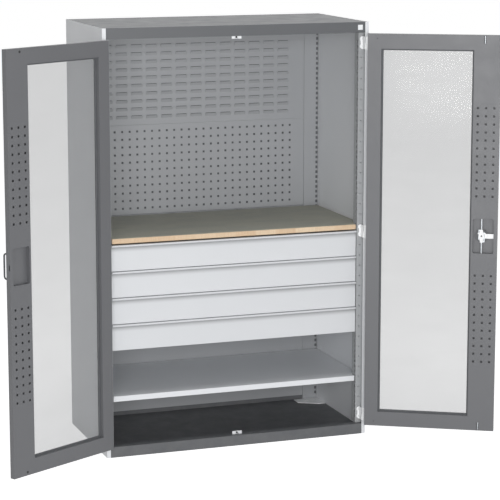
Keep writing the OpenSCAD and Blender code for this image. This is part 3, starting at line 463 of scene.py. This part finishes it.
def place_group(tree, key, **values):
    """A copy of a shader group in a material; Stave_Length sets the socket Stave Length."""
    made = tree.nodes.new("ShaderNodeGroup")
    made.node_tree = shader_group(key)
    for label, value in values.items():
        made.inputs[label.replace("_", " ")].default_value = value
    return made


def finish_material(tree, shader, surface, bump, distance=0.0004):
    tree.links.new(surface.outputs["Color"], shader.inputs["Base Color"])
    tree.links.new(surface.outputs["Roughness"], shader.inputs["Roughness"])
    raised = add_node(
        tree, "ShaderNodeBump", {"Height": surface.outputs["Height"], "Strength": bump, "Distance": distance}
    )
    tree.links.new(raised.outputs[0], shader.inputs["Normal"])


def painted(name, colour, unevenness, rubbing=0.03, gloss=0.42, dust=0.0):
    """Powder-coated sheet steel, with dust near the floor where dust is above 0."""
    made, tree, shader = start_material(name)
    coat = place_group(
        tree, "powder", Paint=(*colour, 1), Unevenness=unevenness, Rubbing=rubbing, Gloss=gloss
    )
    finish_material(tree, shader, coat, 0.12)
    if dust:
        haze = place_group(tree, "dust", Amount=dust, Reach=0.16)
        colour = blend_colours(tree, haze.outputs["Mask"], coat.outputs["Color"], DUST_TONE)
        tree.links.new(colour, shader.inputs["Base Color"])
    shader.inputs["Metallic"].default_value = 0.0
    return made


def grip_shadowed(name, colour):
    """Drawer paint with a painted shadow in the hollow under each grip."""
    made, tree, shader = start_material(name)
    coat = place_group(tree, "powder", Paint=(*colour, 1), Unevenness=0.012, Rubbing=0.02, Gloss=0.38)
    finish_material(tree, shader, coat, 0.12)
    shade = place_group(tree, "grip")
    # painted shadow under each grip, blended over the paint
    colour = blend_colours(tree, shade.outputs["Mask"], coat.outputs["Color"], GRIP_SHADOW_TONE)
    tree.links.new(colour, shader.inputs["Base Color"])
    return made


def plated(name, colour, crystals, streaks, gloss, metallic):
    """Zinc-plated or galvanized steel."""
    made, tree, shader = start_material(name)
    plate = place_group(tree, "zinc", Metal=(*colour, 1), Crystals=crystals, Streaks=streaks, Gloss=gloss)
    finish_material(tree, shader, plate, 0.1)
    shader.inputs["Metallic"].default_value = metallic
    return made


def moulded(name, colour, bloom, gloss):
    made, tree, shader = start_material(name)
    skin = place_group(tree, "skin", Tint=(*colour, 1), Bloom=bloom, Gloss=gloss)
    finish_material(tree, shader, skin, 0.25, 0.0002)
    return made


def wooden(name, pale, dark):
    made, tree, shader = start_material(name)
    wood = place_group(tree, "staves", Pale=(*pale, 1), Dark=(*dark, 1))
    finish_material(tree, shader, wood, 0.2)
    shader.inputs["Coat Weight"].default_value = 0.1
    shader.inputs["Coat Roughness"].default_value = 0.4
    return made


def glazed(name, tint, cover):
    """A thin clear pane with a light tint and faint smears."""
    made, tree, shader = start_material(name)
    smear = noise(tree, stretched(tree, (1, 1, 3)), scale=5, detail=4, roughness=0.6)
    shader.inputs["Base Color"].default_value = (*tint, 1)
    tree.links.new(ramp_value(tree, smear, 0.3, 0.7, 0.04, 0.12), shader.inputs["Roughness"])
    swing = 0.008
    alpha = ramp_value(tree, smear, 0.25, 0.75, cover - swing, cover + swing)
    tree.links.new(alpha, shader.inputs["Alpha"])
    shader.inputs["IOR"].default_value = 1.49
    shader.inputs["Specular IOR Level"].default_value = 0.25
    return made


# How each finish is made: its maker, the colours from the panel and the maker's other values
FINISHES = {
    "carcass_paint": (
        painted,
        ["carcass"],
        {"unevenness": 0.012, "rubbing": 0.02, "gloss": 0.4, "dust": 0.05},
    ),
    "dark_paint": (painted, ["dark"], {"unevenness": 0.025, "rubbing": 0.02, "dust": 0.06}),
    "door_paint": (painted, ["door"], {"unevenness": 0.025, "rubbing": 0.02}),
    "post_paint": (painted, ["post"], {"unevenness": 0.012, "dust": 0.25}),
    "lining_paint": (painted, ["lining"], {"unevenness": 0.02, "rubbing": 0.02, "gloss": 0.45}),
    # dark rear panel: painted shade behind the lining's holes
    "rear_paint": (painted, ["rear"], {"unevenness": 0.02, "gloss": 0.45, "dust": 0.1}),
    "plate_paint": (painted, ["plate"], {"unevenness": 0.02, "rubbing": 0.02, "gloss": 0.3}),
    # drawer paint with the painted shadow under each grip
    "drawer_paint": (grip_shadowed, ["drawer"], {}),
    "hinge_zinc": (plated, ["hinge"], {"crystals": 0.03, "streaks": 0.02, "gloss": 0.4, "metallic": 0.0}),
    "bright_zinc": (plated, ["zinc"], {"crystals": 0.05, "streaks": 0.04, "gloss": 0.36, "metallic": 0.25}),
    "tray_zinc": (plated, ["tray"], {"crystals": 0.09, "streaks": 0.06, "gloss": 0.42, "metallic": 0.6}),
    "bead_rubber": (moulded, ["bead"], {"bloom": 0.06, "gloss": 0.6}),
    "black_rubber": (moulded, ["rubber"], {"bloom": 0.04, "gloss": 0.62}),
    "grey_plastic": (moulded, ["handle"], {"bloom": 0.06, "gloss": 0.42}),
    "beech": (wooden, ["wood_light", "wood_dark"], {}),
    "grey_cover": (wooden, ["cover", "cover_dark"], {}),
    "window_pane": (glazed, ["pane"], {"cover": 0.255}),
}


def finish(key):
    """The material of that name, made once from the colours in the panel."""
    if key not in materials:
        make, tones, values = FINISHES[key]
        colours = [getattr(bpy.context.scene.cabinet_finishes, tone) for tone in tones]
        materials[key] = make(key, *colours, **values)
    return materials[key]


def dress(key, *names):
    """Gives CAD nodes that finish."""
    for name in names:
        mesh = frame["nodes"][name].data
        mesh.materials.clear()
        mesh.materials.append(finish(key))


# ---- mesh building ----


def add_piece(name, points, faces, body, key, slot, smooth=True):
    """A mesh piece that rides on a body."""
    mesh = bpy.data.meshes.new(name)
    mesh.from_pydata([tuple(p) for p in points], [], faces)
    work = bmesh.new()
    work.from_mesh(mesh)
    bmesh.ops.remove_doubles(work, verts=work.verts, dist=1e-7)
    bmesh.ops.recalc_face_normals(work, faces=work.faces)
    work.to_mesh(mesh)
    work.free()
    for face in mesh.polygons:
        face.use_smooth = smooth
    mesh.materials.append(finish(key))
    made = bpy.data.objects.new(name, mesh)
    bpy.context.scene.collection.objects.link(made)
    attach(made, body)
    return made


def rounded(made, width, segments=3, angle=35):
    """Rounds the sharp edges of a piece with a bevel."""
    bevel = made.modifiers.new("soft_edges", "BEVEL")
    bevel.width = width
    bevel.segments = segments
    bevel.limit_method = "ANGLE"
    bevel.angle_limit = math.radians(angle)
    bevel.harden_normals = True
    return made


def ring_faces(rings, steps, closed=False):
    """Faces between rings of points; closed also joins the last ring to the first."""
    faces = []
    for k in range(rings if closed else rings - 1):
        low, high = k * steps, (k + 1) % rings * steps
        for i in range(steps):
            j = (i + 1) % steps
            faces.append((low + i, low + j, high + j, high + i))
    return faces


def turned(profile, steps, place):
    """A turned form: profile is [(radius, rise)], place(x, rise, z) sets a point; both ends close."""
    points = []
    for radius, rise in profile:
        for i in range(steps):
            a = 2 * math.pi * i / steps
            points.append(place(radius * math.cos(a), rise, radius * math.sin(a)))
    faces = ring_faces(len(profile), steps)
    faces.append(tuple(range(steps)))
    faces.append(tuple(range((len(profile) - 1) * steps, len(profile) * steps)))
    return points, faces


def joined(parts):
    """Several (points, faces) as one."""
    points, faces = [], []
    for part_points, part_faces in parts:
        base = len(points)
        points += part_points
        faces += [tuple(i + base for i in face) for face in part_faces]
    return points, faces


def door_place(side):
    """A function from a point of the right door, drawn closed, to where the door on that side stands open."""
    pivot = Vector(joints["right_door_hinge"]["pos_m"][:2])
    turn = Matrix.Rotation(DOOR_OPEN, 2)
    way = 1 if side == "right" else -1

    def place(x, y, z):
        spot = pivot + turn @ (Vector((x, y + FRONT_Y)) - pivot)
        return Vector((way * spot.x, spot.y, z))

    return place


# ---- operators: one for each group of pieces ----


class CABINET_OT_carcass(bpy.types.Operator):
    """Paint the side panels, posts, roof, base and rear panel"""

    bl_idname = "cabinet.carcass"
    bl_label = "Paint the carcass"

    def execute(self, context):
        dress("carcass_paint", "left_side_panel", "right_side_panel")
        dress("hinge_zinc", "corner_gussets")
        dress("post_paint", "front_left_post", "front_right_post")
        dress("lining_paint", "rear_left_post", "rear_right_post")
        dress("dark_paint", "roof", "base")
        # the dark rear panel is painted shade seen through the lining's holes
        dress("rear_paint", "rear_panel")
        return {"FINISHED"}


class CABINET_OT_lining(bpy.types.Operator):
    """Paint the back lining"""

    bl_idname = "cabinet.lining"
    bl_label = "Paint the lining"

    def execute(self, context):
        dress("lining_paint", "louvre_panel", "perforated_panel", "lower_back_panel")
        return {"FINISHED"}


class CABINET_OT_worktop(bpy.types.Operator):
    """Make the worktop of glued staves and its grey cover"""

    bl_idname = "cabinet.worktop"
    bl_label = "Make the worktop"

    def execute(self, context):
        sizes = context.scene.cabinet_sizes
        low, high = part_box("worktop")
        split = high.z - sizes.cover_depth
        wood = self.slab(low, high, low.z, split, 0.0)
        board = add_piece("worktop_board", *wood, "cabinet", "beech", "worktop_wood", False)
        rounded(board, sizes.worktop_edge)
        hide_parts("worktop")
        sheet = self.slab(low, high, split, high.z, sizes.worktop_edge)
        cover = add_piece("worktop_cover", *sheet, "cabinet", "grey_cover", "worktop_wood", False)
        rounded(cover, sizes.cover_depth * 0.4)
        dress("carcass_paint", "worktop_rails", "shelf_rails", "shelf")
        return {"FINISHED"}

    def slab(self, low, high, z0, z1, inset):
        """A board with a notch at each front corner, where the posts stand."""
        x, y0, y1 = high.x - inset, low.y + inset, high.y
        notch_x, notch_y = POST_NOTCH[0] - inset, POST_NOTCH[1] + inset
        half = [(notch_x, y0), (notch_x, notch_y), (x, notch_y), (x, y1)]
        outline = half + [(-a, b) for a, b in reversed(half)]
        count = len(outline)
        points = [(a, b, z) for z in (z0, z1) for a, b in outline]
        faces = [tuple(range(count)), tuple(range(count, 2 * count))]
        faces += [(i, (i + 1) % count, count + (i + 1) % count, count + i) for i in range(count)]
        return points, faces


class CABINET_OT_drawers(bpy.types.Operator):
    """Paint the drawer fronts and plate the trays and runners"""

    bl_idname = "cabinet.drawers"
    bl_label = "Finish the drawers"

    def execute(self, context):
        for n in range(1, 5):
            dress("drawer_paint", f"drawer_{n}_front")
            dress("tray_zinc", f"drawer_{n}_tray", f"drawer_{n}_runners")
        dress("tray_zinc", "drawer_rails")
        return {"FINISHED"}


class CABINET_OT_doors(bpy.types.Operator):
    """Paint the doors and glaze their windows"""

    bl_idname = "cabinet.doors"
    bl_label = "Finish the doors"

    def execute(self, context):
        for side in ("left", "right"):
            dress("door_paint", f"{side}_door_skin", f"{side}_door_frame")
            dress("window_pane", f"{side}_door_window")
            dress("hinge_zinc", f"{side}_door_hinges")
        dress("hinge_zinc", "hinge_frame_leaves", "hinge_pins")
        dress("bright_zinc", "door_strikes")
        dress("grey_plastic", "left_door_handle")
        return {"FINISHED"}


class CABINET_OT_beads(bpy.types.Operator):
    """Make the rubber bead around each window pane"""

    bl_idname = "cabinet.beads"
    bl_label = "Make the window beads"

    def execute(self, context):
        (x0, x1), (z0, z1) = WINDOW_X, WINDOW_Z
        back, front, width = 0.0042, 0.0082, 0.008
        r = context.scene.cabinet_sizes.bead_round
        arc = [(width - r + r * math.sin(a), front - r + r * math.cos(a)) for a in (0, 0.4, 0.8, 1.2, 1.57)]
        profile = [(0.0, back), (0.0, front), *arc, (width, back)]
        for side in ("left", "right"):
            place = door_place(side)
            points = []
            for inset, y in profile:
                left, right, low, high = x0 + inset, x1 - inset, z0 + inset, z1 - inset
                corners = ((left, low), (right, low), (right, high), (left, high))
                points += [place(x, y, z) for x, z in corners]
            faces = ring_faces(len(profile), 4, closed=True)
            name, body = f"{side}_window_bead", f"{side}_door"
            bead = add_piece(name, points, faces, body, "bead_rubber", "seal_rubber", False)
            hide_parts(f"{side}_door_gasket")
        return {"FINISHED"}


class CABINET_OT_lock(bpy.types.Operator):
    """Finish the lock, its rods and its handle"""

    bl_idname = "cabinet.lock"
    bl_label = "Finish the lock"

    def execute(self, context):
        dress("hinge_zinc", "side_bolt", "lock_case")
        dress("tray_zinc", "upper_rod", "lower_rod", "upper_rack", "lower_rack")
        dress("tray_zinc", "rod_guides", "lock_cylinder")
        dress("grey_plastic", "lock_dish", "lock_handle")
        return {"FINISHED"}


class CABINET_OT_buffers(bpy.types.Operator):
    """Make the domed rubber buffers and plugs"""

    bl_idname = "cabinet.buffers"
    bl_label = "Make the buffers"

    def execute(self, context):
        steps = context.scene.cabinet_sizes.round_steps
        left, right = door_place("left"), door_place("right")
        parts = [
            turned(BUFFER_DOME, steps, lambda a, h, b, x=x, z=z: left(x + a, DOOR_INNER_Y + h, z + b))
            for x, z in BUFFER_SPOTS
        ]
        made = add_piece("left_door_domes", *joined(parts), "left_door", "black_rubber", "seal_rubber")
        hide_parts("left_door_buffers")
        cap = [(radius * 0.5, rise) for radius, rise in BUFFER_DOME]
        parts = [
            turned(cap, steps, lambda a, h, b, x=x, z=z: right(x + a, DOOR_INNER_Y + h, z + b))
            for x, z in PLUG_SPOTS
        ]
        made = add_piece("right_door_caps", *joined(parts), "right_door", "grey_plastic", "lock_plastic")
        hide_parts("right_door_plugs")
        parts = [
            turned(STRIKE_DOME, steps, lambda a, h, b, z=z: Vector((a, h + STRIKE_Y + FRONT_Y, z + b)))
            for z in STRIKE_ZS
        ]
        made = add_piece("strike_domes", *joined(parts), "cabinet", "black_rubber", "seal_rubber")
        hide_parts("strike_buffers")
        return {"FINISHED"}


class CABINET_OT_plate(bpy.types.Operator):
    """Make the bare name plate with a raised rim"""

    bl_idname = "cabinet.plate"
    bl_label = "Make the name plate"

    def execute(self, context):
        low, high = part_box("name_plate")
        middle = (low + high) / 2
        half = (high.x - low.x) / 2
        points = []
        for grow, rise in PLATE_RINGS:
            y = high.y - PLATE_RISE * rise
            points += [(middle.x + sx * half * grow, y, middle.z + sz * half * grow) for sx, sz in SQUARE]
        faces = ring_faces(len(PLATE_RINGS), 4)
        made = add_piece("bare_name_plate", points, faces, "cabinet", "plate_paint", "plate_plastic", False)
        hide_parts("name_plate")
        return {"FINISHED"}


class CABINET_OT_fixings(bpy.types.Operator):
    """Make the screws of the hinges and rails and the rivets at the back"""

    bl_idname = "cabinet.fixings"
    bl_label = "Make the screws and rivets"

    def execute(self, context):
        sizes = context.scene.cabinet_sizes
        parts = []
        for way in (-1, 1):
            for z in HINGE_ZS:
                for step in (-HINGE_SCREW_STEP, HINGE_SCREW_STEP):
                    parts.append(self.hinge_screw(sizes, way, z + step))
            for z in RAIL_SCREW_ZS:
                for y in RAIL_SCREW_YS:
                    parts.append(self.rail_screw(sizes, way, y, z))
        screws = add_piece("pan_head_screws", *joined(parts), "cabinet", "bright_zinc", "screw_steel")
        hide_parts("cabinet_screws")
        count = int(RIVET_SPAN / sizes.rivet_pitch)
        heights = [RIVET_Z0 + i * RIVET_SPAN / count for i in range(count + 1)]
        parts = [self.rivet(sizes, way, z) for way in (-1, 1) for z in heights]
        add_piece("rear_rivets", *joined(parts), "cabinet", "rear_paint", "light_panel")
        return {"FINISHED"}

    def hinge_screw(self, sizes, way, middle_z):
        """A screw head that faces the front, on a frame leaf."""

        def place(a, h, b):
            return Vector((way * HINGE_SCREW_X + a, HINGE_SCREW_Y - h * sizes.head_rise, middle_z + b))

        return turned(SCREW_HEAD, sizes.round_steps, place)

    def rail_screw(self, sizes, way, middle_y, middle_z):
        """A screw head that faces inwards, on a rail."""

        def place(a, h, b):
            return Vector((way * (RAIL_SCREW_X - h * RAIL_HEAD_RISE), middle_y + a, middle_z + b))

        return turned(SCREW_HEAD, sizes.round_steps, place)

    def rivet(self, sizes, way, middle_z):
        """A rivet head on the rear panel."""
        radius = sizes.rivet_radius

        def place(a, h, b):
            return Vector((way * RIVET_X + a * radius, BACK_Y + h * RIVET_RISE, middle_z + b * radius))

        return turned(RIVET_DOME, RIVET_STEPS, place)


class CABINET_OT_studio(bpy.types.Operator):
    """Set the floor, the lamps, the sky and the camera"""

    bl_idname = "cabinet.studio"
    bl_label = "Set the studio"

    def execute(self, context):
        scene = context.scene
        studio = scene.cabinet_studio
        self.make_floor(scene, studio)
        self.make_sky(scene, studio)
        self.make_lamp("front_lamp", studio.front_power, place=(-2.0, -8.0, 2.0), aim=(0, 0, 0.9), width=5.0)
        self.make_lamp("top_lamp", studio.top_power, place=(0.2, -0.6, 6.2), aim=(0, 0, 1.2), width=4.0)
        lens = bpy.data.cameras.new("photo_camera")
        lens.lens = studio.focal
        lens.sensor_width = 36
        lens.shift_y = studio.camera_shift
        lens.clip_end = 200
        camera = bpy.data.objects.new("photo_camera", lens)
        camera.location = studio.camera_place
        camera.rotation_euler = (math.pi / 2 - studio.camera_pitch, 0, -studio.camera_yaw)
        scene.collection.objects.link(camera)
        scene.camera = camera
        scene.view_settings.view_transform = "Standard"
        return {"FINISHED"}

    def seen_directly(self, tree):
        """1 for what the camera sees, also by gloss or through glass; 0 for light on the object."""
        path = tree.nodes.new("ShaderNodeLightPath").outputs
        seen = math_node(tree, "MAXIMUM", path["Is Camera Ray"], path["Is Glossy Ray"])
        return math_node(tree, "MAXIMUM", seen, path["Is Transmission Ray"])

    def make_floor(self, scene, studio):
        work = bmesh.new()
        bmesh.ops.create_grid(work, x_segments=8, y_segments=8, size=90)
        mesh = bpy.data.meshes.new("studio_floor")
        work.to_mesh(mesh)
        work.free()
        made, tree, shader = start_material("studio_floor")
        tint = scene.cabinet_finishes.floor
        darker = [part * 0.985 for part in tint]
        spots = noise(tree, stretched(tree, (1, 1, 1)), scale=0.8, detail=2)
        colour = blend_colours(tree, ramp_value(tree, spots, 0.3, 0.7), (*tint, 1), (*darker, 1))
        tree.links.new(colour, shader.inputs["Base Color"])
        shader.inputs["Roughness"].default_value = 0.9
        shader.inputs["Specular IOR Level"].default_value = 0.0
        shader.inputs["Emission Color"].default_value = (1, 1, 1, 1)
        glow = math_node(tree, "MULTIPLY", self.seen_directly(tree), studio.floor_glow)
        tree.links.new(glow, shader.inputs["Emission Strength"])
        mesh.materials.append(made)
        floor = bpy.data.objects.new("studio_floor", mesh)
        floor.location.z = cad_box[0].z - 0.0005
        scene.collection.objects.link(floor)

    def make_sky(self, scene, studio):
        sky = bpy.data.worlds.new("studio_sky")
        sky.use_nodes = True
        tree = sky.node_tree
        tree.nodes.clear()
        strength = ramp_value(tree, self.seen_directly(tree), 0, 1, studio.sky, 1.0)
        glow = add_node(tree, "ShaderNodeBackground", {"Color": (1, 1, 1, 1), "Strength": strength})
        end = tree.nodes.new("ShaderNodeOutputWorld")
        tree.links.new(glow.outputs[0], end.inputs["Surface"])
        scene.world = sky

    def make_lamp(self, name, power, place, aim, width, height=3.0):
        light = bpy.data.lights.new(name, "AREA")
        light.shape = "RECTANGLE"
        light.size, light.size_y = width, height
        light.energy = power
        lamp = bpy.data.objects.new(name, light)
        lamp.location = place
        lamp.rotation_euler = (Vector(aim) - Vector(place)).to_track_quat("-Z", "Y").to_euler()
        bpy.context.scene.collection.objects.link(lamp)


class CABINET_PT_panel(bpy.types.Panel):
    """Lists the settings and the makers of the cabinet"""

    bl_label = "Tool cabinet"
    bl_idname = "CABINET_PT_panel"
    bl_space_type = "VIEW_3D"
    bl_region_type = "UI"
    bl_category = "Cabinet"

    def draw(self, context):
        for group in SETTINGS:
            settings = getattr(context.scene, group)
            column = self.layout.column()
            for key in settings.__annotations__:
                column.prop(settings, key)
        for maker in MAKERS:
            self.layout.operator(maker.bl_idname)


MAKERS = (
    CABINET_OT_studio,
    CABINET_OT_carcass,
    CABINET_OT_lining,
    CABINET_OT_worktop,
    CABINET_OT_drawers,
    CABINET_OT_doors,
    CABINET_OT_beads,
    CABINET_OT_lock,
    CABINET_OT_buffers,
    CABINET_OT_plate,
    CABINET_OT_fixings,
)
SETTINGS = {
    "cabinet_finishes": CabinetFinishes,
    "cabinet_sizes": CabinetSizes,
    "cabinet_studio": CabinetStudio,
}


def register():
    for made in (*SETTINGS.values(), *MAKERS, CABINET_PT_panel):
        bpy.utils.register_class(made)
    for key, kind in SETTINGS.items():
        setattr(bpy.types.Scene, key, PointerProperty(type=kind))


def unregister():
    for key in SETTINGS:
        delattr(bpy.types.Scene, key)
    for made in reversed((*SETTINGS.values(), *MAKERS, CABINET_PT_panel)):
        bpy.utils.unregister_class(made)


def main():
    register()
    for maker in MAKERS:
        group, name = maker.bl_idname.split(".")
        getattr(getattr(bpy.ops, group), name)()


if __name__ == "__main__":
    main()
